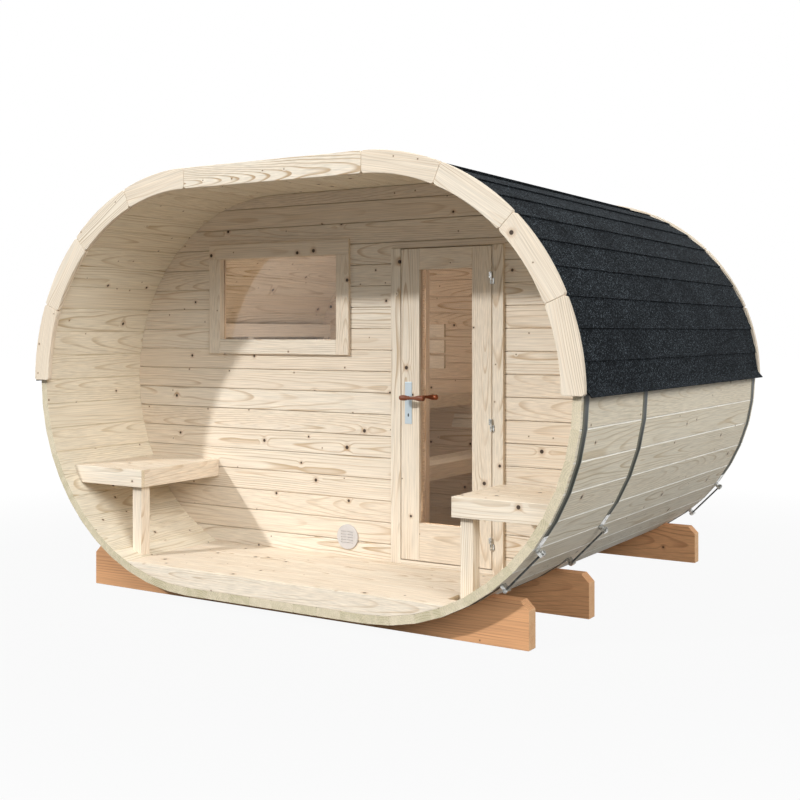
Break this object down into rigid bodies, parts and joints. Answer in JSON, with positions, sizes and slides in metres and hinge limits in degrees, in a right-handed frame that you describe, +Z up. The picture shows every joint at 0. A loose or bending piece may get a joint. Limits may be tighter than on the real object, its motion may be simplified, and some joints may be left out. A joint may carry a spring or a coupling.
{
  "type": "barrel sauna with a covered terrace",
  "caption": "Oval barrel sauna of spruce staves on three cradles, with a covered terrace, benches, a glazed door, a window and a shingled roof.",
  "frame": {"origin": "middle of the footprint, on the ground under the cradles", "axes": "+X to the right seen from the terrace, +Y along the barrel from the terrace to the rear, +Z up"},
  "size_m": [3.632, 2.95, 2.425],
  "materials": {
    "spruce": "planed, unpainted",
    "treated_timber": "impregnated, planed",
    "dark_wood": "turned and oiled",
    "roof_felt": "mineral granules",
    "band_steel": "stainless strip",
    "bright_steel": "zinc plated",
    "white_metal": "satin",
    "white_plastic": "satin",
    "tinted_glass": "clear bronze tint"
  },
  "bodies": {
    "cabin": {"floor_staves": "spruce", "right_lower_staves": "spruce", "right_upper_staves": "spruce", "top_staves": "spruce", "left_upper_staves": "spruce", "left_lower_staves": "spruce", "front_trim": "spruce", "rear_trim": "spruce", "front_wall_left": "spruce", "front_wall_under_window": "spruce", "front_wall_over_window": "spruce", "front_wall_middle": "spruce", "front_wall_over_door": "spruce", "front_wall_under_door": "spruce", "front_wall_right": "spruce", "rear_wall": "spruce", "terrace_floor": "spruce", "room_floor": "spruce", "terrace_fascia": "spruce", "door_jambs": "spruce", "door_stops": "spruce", "door_threshold": "spruce", "window_frame": "spruce", "left_seat_aprons": "spruce", "left_seat_slats": "spruce", "left_seat_post": "spruce", "right_seat_aprons": "spruce", "right_seat_slats": "spruce", "right_seat_post": "spruce", "upper_bench": "spruce", "lower_bench": "spruce", "headrest": "spruce", "low_headrest": "spruce", "backrest": "spruce", "door_screen": "spruce", "front_cradle": "treated_timber", "middle_cradle": "treated_timber", "rear_cradle": "treated_timber", "front_band": "band_steel", "middle_band": "band_steel", "rear_band": "band_steel", "roof_cover": "roof_felt", "jamb_hinges": "bright_steel", "window_glass": "tinted_glass", "vent_cover": "white_plastic"},
    "door": {"leaf_hinges": "bright_steel", "door_stiles": "spruce", "door_rails": "spruce", "door_glass": "tinted_glass", "lock_plates": "white_metal"},
    "lever": {"door_lever": "dark_wood"}
  },
  "joints": [
    {"name": "door_swing", "type": "hinge", "parent": "cabin", "child": "door", "pos_m": [0.91346, -0.684, 0.4], "axis": [0, 0, 1], "range_deg": [0, 100]},
    {"name": "lever_turn", "type": "hinge", "parent": "door", "child": "lever", "pos_m": [0.38296, -0.657, 1.144], "axis": [0, 1, 0], "range_deg": [0, 40], "stiffness_Nm_per_rad": 1}
  ]
}
